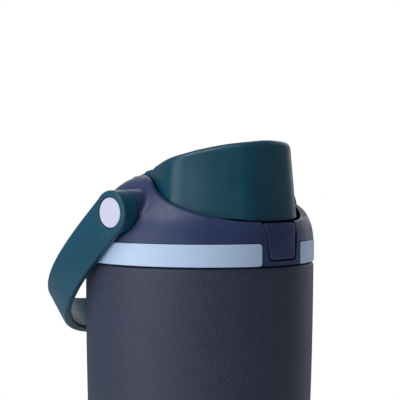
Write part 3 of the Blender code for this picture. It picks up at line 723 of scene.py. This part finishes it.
def make_dome(plastic):
    spokes = [dome_spoke(angle) for angle in spoke_angles()]
    rings = [list(ring) for ring in zip(*spokes)]
    dome = skin("lid_dome", rings)
    seat_radius, seat_start, outside = 0.0099, 0.0450, 0.0600
    for side in (-1, 1):
        seat = [(0.0, side * seat_start), (seat_radius, side * seat_start)]
        seat += [(seat_radius, side * outside), (0.0, side * outside)]
        apply_boolean(dome, x_lathe("seat", seat, 0.0, PIVOT_Z, 96))
    window = button_outline(0.0007, BUTTON_LOW.z - 0.0006, 0.2470, 0.0018)
    rings = [[(x, y, z) for x, z in window] for y in (-0.0560, -0.0449)]
    apply_boolean(dome, skin("window", rings))
    even_normals(dome)
    merge(dome, boss_collar(-1), boss_collar(1))
    stand_for(dome, "lid", plastic, "navy_plastic", "lid_shell")


def make_band(plastic):
    """The light stripe: a C with round corners at its two ends."""
    corner, soft = 0.0011, 0.00025
    low, high = BAND_LOW.z, BAND_HIGH.z
    centre_z, half = (low + high) / 2, (high - low) / 2
    arc = corner / BAND_OUTER
    turns = [math.pi / 2 * i / 8 for i in range(9)]
    half_run = [(BAND_GAP + arc * (1 - math.cos(t)), half - corner + corner * math.sin(t)) for t in turns]
    half_run += [(BAND_GAP + arc + (math.pi - BAND_GAP - arc) * i / 90, half) for i in range(1, 91)]
    run = half_run + [(math.tau - a, h) for a, h in reversed(half_run[:-1])]
    rings = []
    for angle, tall in run:
        section = [(BAND_INNER, -tall), (BAND_OUTER - soft, -tall), (BAND_OUTER, -tall + soft)]
        section += [(BAND_OUTER, tall - soft), (BAND_OUTER - soft, tall), (BAND_INNER, tall)]
        rings.append([(r * math.sin(angle), -r * math.cos(angle), centre_z + z) for r, z in section])
    band = even_normals(skin("colour_band", rings))
    stand_for(band, "lid", plastic, "sky_plastic", "trim_band")


def make_button(plastic):
    """A tapered press button whose face stands a little proud of the housing, with soft edges."""
    soft, proud = 0.0009, 0.0003
    low, high = BUTTON_LOW.z, BUTTON_TOP
    centre = Vector((0.0, (low + high) / 2))
    rim = [Vector(p) for p in button_outline(-0.0003, low, high, 0.0015)]

    def face_y(x, z):
        radius = min(dome_radius(max(z, BAND_HIGH.z)), DOME_FOOT) + proud
        return -math.sqrt(max(radius * radius - x * x, 0.0))

    def ring(scale, inset, sink):
        points = []
        for p in rim:
            flat = centre + (p - centre) * scale
            flat -= (p - centre).normalized() * inset * 1.15
            points.append((flat.x, face_y(flat.x, flat.y) + sink, flat.y))
        return points

    rings = [ring(share, soft * share, 0.0) for share in (0.02, 0.15, 0.3, 0.45, 0.6, 0.75, 0.88)]
    for step in range(9):
        turn = math.pi / 2 * step / 8
        rings.append(ring(1.0, soft * (1 - math.sin(turn)), soft * (1 - math.cos(turn))))
    rings.append([(p.x, BUTTON_BACK_Y, p.y) for p in rim])
    button = skin("press_button", rings)
    half, thick = 0.0035, 0.00045
    corners = ((half, 1), (-half, 1), (-half, -1), (half, -1))
    path = ((-0.0478, 0.24135), (-0.0385, 0.24135), (-0.0379, 0.2420), (-0.0378, 0.2446))
    bars = []
    for (y0, z0), (y1, z1) in zip(path, path[1:]):
        along = Vector((0.0, y1 - y0, z1 - z0)).normalized()
        across = Vector((0.0, -along.z, along.y)) * thick
        for y, z in ((y0, z0), (y1, z1)):
            bars.append([Vector((x, y, z)) + across * t for x, t in corners])
    nose, wide = [], 0.0033
    for y, under, over in ((-0.0376, 0.2437, 0.2447), (-0.0396, 0.2437, 0.2447), (-0.0403, 0.2440, 0.2444)):
        nose.append([(wide, y, under), (wide, y, over), (-wide, y, over), (-wide, y, under)])
    merge(button, skin("latch_arm", bars), skin("latch_nose", nose))
    stand_for(button, "button", plastic, "navy_plastic", "latch_button")


# Cover

def cover_height(y):
    """Height of the cover's top above its middle line."""
    return read(TOP_CURVE, y)


def cover_top(x, y):
    """Height of the cover's top, which falls away to both sides of its nose."""
    nose = min(1.0, max(0.0, (-0.0260 - y) / 0.0140))
    return cover_height(y) - 0.0003 * nose * (1.0 - math.cos(math.pi * min(1.0, abs(x) / 0.0180)))


def cover_skirt(x, y):
    """Height of the cover's lower edge, a little inside the lid's rim."""
    below_rim = read(RIM_CURVE, y) - 0.0016
    below_top = cover_top(x, y) - 0.0042
    return soft_max(read(SKIRT_CURVE, y), -soft_max(-below_rim, -below_top, 0.0008), 0.0008)


def cover_ring(outline, extra, height):
    """One ring: the outline drawn in by the draft at that height, and by the extra."""
    ring = []
    for x, y in outline:
        z = height(x, y)
        factor = 1.0 - (extra + COVER_DRAFT * max(0.0, z - COVER_BASE_Z)) / COVER_HALF_SIZE
        ring.append((x * factor, COVER_MIDDLE_Y + (y - COVER_MIDDLE_Y) * factor, z))
    return ring


def crowned(ring, factor, rise):
    points = []
    for x, y, _ in ring:
        new_x, new_y = x * factor, COVER_MIDDLE_Y + (y - COVER_MIDDLE_Y) * factor
        points.append((new_x, new_y, cover_top(new_x, new_y) + rise))
    return points


def make_cover(plastic):
    half = smooth_path(COVER_OUTLINE, 8, mirror_ends=True)
    outline = [*half, *((-x, y) for x, y in reversed(half[1:-1]))]
    edge, crown = 0.0005, 0.0002
    rings = []
    for step in range(9):
        turn = math.pi / 2 * (1 - step / 8)
        inset, drop = COVER_ROUND * (1 - math.cos(turn)), COVER_ROUND * (1 - math.sin(turn))
        rings.append(cover_ring(outline, inset, lambda x, y, drop=drop: cover_top(x, y) - drop))
    top = rings[0]
    shares = (0.04, 0.25, 0.45, 0.62, 0.78, 0.9, 0.97)
    rings = [crowned(top, share, crown * (1 - share * share)) for share in shares] + rings

    def between(share, gap):
        """A height between the lower edge and a place below the top."""
        def height(x, y):
            low = cover_skirt(x, y) + edge
            return low + (cover_top(x, y) - gap - low) * share
        return height

    rings += [cover_ring(outline, 0.0, between(share, COVER_ROUND)) for share in (0.75, 0.5, 0.25, 0.08)]
    for step in range(5):
        turn = math.pi / 2 * step / 4
        rings.append(cover_ring(outline, edge * (1 - math.cos(turn)),
                                lambda x, y, turn=turn: cover_skirt(x, y) + edge * (1 - math.sin(turn))))
    rings.append(cover_ring(outline, COVER_WALL - edge, cover_skirt))
    rings += [cover_ring(outline, COVER_WALL, between(share, 0.0036)) for share in (0.0, 0.5, 1.0)]
    rings.append(cover_ring(outline, COVER_WALL + 0.0004, lambda x, y: cover_top(x, y) - 0.0026))
    rings.append(cover_ring(outline, COVER_WALL + 0.0014, lambda x, y: cover_top(x, y) - 0.0020))
    ceiling = rings[-1]
    rings += [crowned(ceiling, share, -0.0018) for share in (0.7, 0.35, 0.04)]
    cover = skin("flip_cover", rings)
    for side in (-1, 1):
        near, far = side * 0.0058, side * 0.0165
        barrel = [(0.0017, near, 0.0), (0.0040, near, 0.0004), (0.0040, far, 0.0004), (0.0017, far, 0.0)]
        merge(cover, x_lathe("knuckle", rounded(barrel), HINGE.y, HINGE.z, 48, joined=True))
    catch = [(-0.0440, 0.2490), (-0.0440, 0.2449), (-0.0434, 0.2446), (-0.0434, 0.2426), (-0.0408, 0.2426),
             (-0.0406, 0.2430), (-0.0406, 0.2434), (-0.0419, 0.2434), (-0.0419, 0.2490)]
    merge(cover, skin("latch_tongue", [[(x, y, z) for y, z in catch] for x in (-0.0048, 0.0048)]))
    even_normals(cover)
    stand_for(cover, "cover", plastic, "teal_plastic", "cover_shell")


def make_cover_lining(plastic, rubber):
    """The panel under the cover's top, and the oval pad that shuts the spout."""
    def plate(name, half_x, half_y, low, high, soft):
        rings, inner = [], 0.004
        under = ((inner, low), (soft, low), (0.0, low + soft))
        over = ((0.0, high - soft), (soft, high), (inner, high))
        for inset, drop in (*under, *over):
            ring = []
            for index in range(96):
                angle = math.tau * index / 96
                x, y = (half_x - inset) * math.cos(angle), SPOUT.y + (half_y - inset) * math.sin(angle)
                ring.append((x, y, cover_height(y) + drop))
            rings.append(ring)
        return skin(name, rings)

    liner = plate("cover_lining", 0.0225, 0.0210, -0.0038, -0.0026, 0.0004)
    stand_for(liner, "cover", plastic, "teal_plastic", "cover_liner")
    pad = plate("spout_pad", 0.0150, 0.0122, -0.0061, -0.0041, 0.0006)
    stand_for(pad, "cover", rubber, "silicone", "spout_seal")


def make_spout(plastic):
    """The drinking spout: an oval turret with a sip slot and the straw's mouth."""
    half_x, half_y = 0.0140, 0.0110

    def oval_ring(inset, height):
        ring = []
        for index in range(128):
            angle = math.tau * index / 128
            x, y = (half_x - inset) * math.cos(angle), SPOUT.y + (half_y - inset) * math.sin(angle)
            ring.append((x, y, height(y)))
        return ring

    def lip(drop):
        return lambda y: cover_height(y) - 0.0064 - drop

    def level(z):
        return lambda y: z

    soft = 0.0012
    rings = [oval_ring(0.0090, lip(0.0002)), oval_ring(0.0040, lip(0.0))]
    for step in range(7):
        turn = math.pi / 2 * step / 6
        rings.append(oval_ring(soft * (1 - math.sin(turn)), lip(soft * (1 - math.cos(turn)))))
    rings += [oval_ring(0.0, level(z)) for z in (0.2500, 0.2426)]
    flange = ((0.0004, 0.2422), (0.0022, 0.2421), (0.0026, 0.2417))
    flange += ((0.0026, 0.2408), (0.0, 0.2408), (0.0, 0.2349))
    rings += [oval_ring(-out, level(z)) for out, z in flange]
    spout = skin("sip_spout", rings)
    low, high = 0.2300, 0.2800
    wide, deep, slot_y = 0.0102, 0.0036, SPOUT.y + 0.0044
    angles = [math.tau * i / 64 for i in range(64)]
    slot = [[(wide * math.cos(a), slot_y + deep * math.sin(a), z) for a in angles] for z in (low, high)]
    apply_boolean(spout, skin("sip_slot", slot))
    bore = [(0.0, low), (0.0027, low), (0.0027, high), (0.0, high)]
    apply_boolean(spout, lathe("straw_bore", bore, 48, centre=(0.0, SPOUT.y - 0.0042)))
    even_normals(spout)
    stand_for(spout, "lid", plastic, "sky_plastic", "spout")


# Handle

def strap_point(angle, inset):
    """A point of the strap's plan curve, drawn in by the inset, as (across, along the hang)."""
    power = 2.0 / STRAP_POWER
    cosine, sine = math.cos(angle), math.sin(angle)
    across = math.copysign(abs(cosine) ** power, cosine)
    along = abs(sine) ** power
    slope_x = math.copysign(abs(across) ** (STRAP_POWER - 1) / STRAP_HALF_SPAN, across)
    slope_s = along ** (STRAP_POWER - 1) / STRAP_REACH
    normal = Vector((slope_x, slope_s)).normalized()
    return STRAP_HALF_SPAN * across - inset * normal.x, STRAP_REACH * along - inset * normal.y


def strap_section(angle):
    """The strap's cross-section at one place: flat faces and well rounded edges."""
    share = abs(math.sin(angle)) ** (2.0 / STRAP_POWER)
    half = STRAP_HALF_WIDTH_TOP + (STRAP_HALF_WIDTH_END - STRAP_HALF_WIDTH_TOP) * share
    thick = STRAP_THICKNESS + 0.0004 * share
    flat = half - STRAP_ROUND
    places = [(0.0, flat * share_of) for share_of in (-1.0, -0.6, 0.0, 0.6)]
    for step in range(7):
        turn = math.pi / 2 * step / 6
        places.append((STRAP_ROUND * (1 - math.cos(turn)), flat + STRAP_ROUND * math.sin(turn)))
    for step in range(7):
        turn = math.pi / 2 * step / 6
        places.append((thick - STRAP_ROUND * (1 - math.sin(turn)), flat + STRAP_ROUND * math.cos(turn)))
    places += [(thick, 0.0)]
    for step in range(7):
        turn = math.pi / 2 * step / 6
        places.append((thick - STRAP_ROUND * (1 - math.cos(turn)), -flat - STRAP_ROUND * math.sin(turn)))
    for step in range(6):
        turn = math.pi / 2 * step / 6
        places.append((STRAP_ROUND * (1 - math.sin(turn)), -flat - STRAP_ROUND * math.cos(turn)))
    points = []
    for inset, width in places:
        across, along = strap_point(angle, inset)
        y = along * math.cos(HANG_ANGLE) + width * math.sin(HANG_ANGLE)
        z = PIVOT_Z - along * math.sin(HANG_ANGLE) + width * math.cos(HANG_ANGLE)
        points.append((across, y, z))
    return points


def make_handle(plastic):
    count = 120
    handle = skin("carry_strap", [strap_section(math.pi * i / count) for i in range(count + 1)])
    for side in (-1, 1):
        inner, outer = side * 0.0454, side * (STRAP_HALF_SPAN + 0.00004)
        eye = [(0.0, inner, 0.0), (BOSS_RADIUS, inner, 0.0006)]
        eye += [(BOSS_RADIUS, outer, STRAP_ROUND), (0.0, outer, 0.0)]
        apply_boolean(handle, x_lathe("eye", rounded(eye, 6), 0.0, PIVOT_Z, 128), "UNION")
    for side in (-1, 1):
        seat_x = side * 0.0516
        seat = [(0.0, seat_x), (0.0067, seat_x), (0.0067, side * 0.0560), (0.0, side * 0.0560)]
        apply_boolean(handle, x_lathe("cap_seat", seat, 0.0, PIVOT_Z, 128))
    even_normals(handle)
    stand_for(handle, "carry_handle", plastic, "teal_plastic", "handle")


def make_caps(plastic):
    """The light discs in the handle's eyes, slightly dished, with a soft rim."""
    for side, label in ((-1, "left"), (1, "right")):
        face = side * (CAP_OUTER_X + 0.00005)
        profile = [(0.0, side * 0.0518, 0.0), (0.00635, side * 0.0518, 0.0001), (0.00635, face, 0.0004)]
        profile += [(0.0052, face - side * 0.00003, 0.0004), (0.0, face - side * 0.00012, 0.0)]
        cap = even_normals(x_lathe("pivot_disc_" + label, rounded(profile, 6), 0.0, PIVOT_Z, 96))
        stand_for(cap, "carry_handle", plastic, "lilac_plastic", "pivot_cap_" + label)


def make_lid_liner(plastic):
    """The threaded cup under the lid."""
    low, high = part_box("lid_liner")
    profile = [(0.0, high.z, 0.0), (0.0428, high.z, 0.0006), (0.0428, low.z, 0.0003), (0.0412, low.z, 0.0003)]
    profile += [(0.0412, 0.2365, 0.0008), (0.0, 0.2365, 0.0)]
    liner = lathe("lid_cup", rounded(profile), steps=144)
    hole = [(0.0, 0.2320), (0.0144, 0.2320), (0.0144, 0.2390), (0.0, 0.2390)]
    apply_boolean(liner, lathe("spout_hole", hole, 96, centre=(0.0, SPOUT.y), oval=0.0114 / 0.0144))
    merge(liner, thread_ridge("lid_thread", 0.0413, 0.2275, 1.35, -0.0009))
    even_normals(liner)
    stand_for(liner, "lid", plastic, "navy_plastic", "lid_liner")


# Scene

def make_floor():
    """A wide pale disc with a rolled edge, under the bottle."""
    profile = [(0.0, -0.0060, 0.0), (0.85, -0.0060, 0.002), (0.85, -0.0001, 0.002), (0.0, -0.0001, 0.0)]
    floor = lathe("studio_floor", rounded(profile), steps=96)
    finish = Finish("pale_floor", 0.7)
    finish.colour(finish.mixed(finish.noise(6.0, 2.0), linear(236, 237, 239), linear(242, 242, 243)))
    finish.roughness(finish.noise(40.0, 3.0), 0.6, 0.75)
    floor.data.materials.append(finish.material)


def make_camera():
    """The photograph's viewpoint: the front left, a little above the lid's middle."""
    azimuth, drop, roll = math.radians(CAMERA_BEARING), math.radians(2.253), math.radians(0.25)
    distance, target = 0.792, Vector((0.0, 0.0, 0.25004))
    back = Vector((math.sin(azimuth) * math.cos(drop), -math.cos(azimuth) * math.cos(drop), math.sin(drop)))
    right = Vector((math.cos(azimuth), math.sin(azimuth), 0.0))
    up = back.cross(right)
    turned_right = right * math.cos(roll) + up * math.sin(roll)
    turned_up = up * math.cos(roll) - right * math.sin(roll)
    data = bpy.data.cameras.new("view_camera")
    data.sensor_width = 36.0
    data.lens = 163.7
    data.clip_start, data.clip_end = 0.05, 20.0
    camera = bpy.data.objects.new("view_camera", data)
    axes = Matrix((turned_right, turned_up, back)).transposed().to_4x4()
    camera.matrix_world = Matrix.Translation(target + back * distance) @ axes
    bpy.context.scene.collection.objects.link(camera)
    bpy.context.scene.camera = camera


def softbox(name, bearing, height, distance, width, tall, power, colour=(1.0, 1.0, 1.0), aim=0.22):
    """A soft panel at a bearing round the bottle, in degrees to the right of the camera."""
    angle = math.radians(CAMERA_BEARING + bearing)
    data = bpy.data.lights.new(name, "AREA")
    data.shape = "RECTANGLE"
    data.size, data.size_y = width, tall
    data.energy = power
    data.color = colour
    lamp = bpy.data.objects.new(name, data)
    lamp.location = (distance * math.sin(angle), -distance * math.cos(angle), height)
    lamp.rotation_euler = (Vector((0.0, 0.0, aim)) - lamp.location).to_track_quat("-Z", "Y").to_euler()
    lamp.visible_camera = False
    bpy.context.scene.collection.objects.link(lamp)


def make_light():
    softbox("key_panel", -58.0, 0.42, 1.30, 0.70, 0.90, 6.5, (0.96, 0.97, 1.0))
    softbox("side_panel", -22.0, 0.40, 1.30, 0.30, 0.80, 1.8, (0.93, 0.96, 1.0))
    softbox("fill_panel", 138.0, 0.50, 1.50, 0.50, 1.10, 2.0, (0.95, 0.97, 1.0))
    softbox("top_panel", -60.0, 1.30, 0.60, 0.70, 0.70, 9.0)
    softbox("back_panel", 170.0, 0.70, 1.60, 1.20, 0.80, 5.0)
    world = bpy.data.worlds.new("studio_white")
    world.use_nodes = True
    nodes, links = world.node_tree.nodes, world.node_tree.links
    seen = nodes["Background"]
    seen.inputs["Color"].default_value = (1.0, 1.0, 1.0, 1.0)
    seen.inputs["Strength"].default_value = 1.0
    lit = nodes.new("ShaderNodeBackground")
    lit.inputs["Color"].default_value = (0.86, 0.93, 1.0, 1.0)
    lit.inputs["Strength"].default_value = 0.22
    mix = nodes.new("ShaderNodeMixShader")
    links.new(nodes.new("ShaderNodeLightPath").outputs["Is Camera Ray"], mix.inputs["Fac"])
    links.new(lit.outputs["Background"], mix.inputs[1])
    links.new(seen.outputs["Background"], mix.inputs[2])
    links.new(mix.outputs["Shader"], nodes["World Output"].inputs["Surface"])
    bpy.context.scene.world = world
    bpy.context.scene.view_settings.view_transform = "Standard"


def dress_nodes(finishes):
    """Finishes for the CAD nodes that stay as they are."""
    for node, (material, slot) in finishes.items():
        dress(NODES[node], material, slot)


def main():
    coat = powder_coat("powder_coat_slate")
    steel = brushed_steel("turned_steel", (1.0, 1.0, 40.0))
    wire_steel = brushed_steel("drawn_steel", (30.0, 1.0, 1.0))
    navy = moulded("moulded_navy", linear(38, 51, 92), 0.44, contrast=0.08)
    inner_navy = moulded("moulded_navy_inner", linear(44, 50, 80), 0.5)
    teal = moulded("moulded_teal", linear(0, 66, 86), 0.38, contrast=0.07)
    strap_teal = moulded("moulded_teal_strap", linear(0, 70, 92), 0.42, contrast=0.08)
    sky = moulded("moulded_sky", linear(186, 208, 236), 0.45, contrast=0.03, edge_highlight=0.05)
    lilac = moulded("moulded_lilac", linear(208, 206, 228), 0.45, contrast=0.02, edge_highlight=0.05)
    grey = silicone("silicone_grey", linear(160, 168, 178))
    straw = straw_plastic("straw_milky")

    make_body(coat)
    make_vessel(steel)
    make_base(steel)
    make_dome(navy)
    make_band(sky)
    make_button(navy)
    make_cover(teal)
    make_cover_lining(teal, grey)
    make_spout(sky)
    make_handle(strap_teal)
    make_caps(lilac)
    make_lid_liner(inner_navy)
    dress_nodes({
        "neck_gasket": (grey, "silicone"),
        "straw": (straw, "straw_plastic"),
        "straw_adapter": (grey, "silicone"),
        "vent_valve": (grey, "silicone"),
        "hinge_pin": (wire_steel, "steel"),
        "torsion_spring": (wire_steel, "steel"),
        "button_spring": (wire_steel, "steel"),
        "pivot_pin_left": (wire_steel, "steel"),
        "pivot_pin_right": (wire_steel, "steel"),
        "pivot_washer_left": (grey, "silicone"),
        "pivot_washer_right": (grey, "silicone"),
    })
    make_floor()
    make_camera()
    make_light()


main()
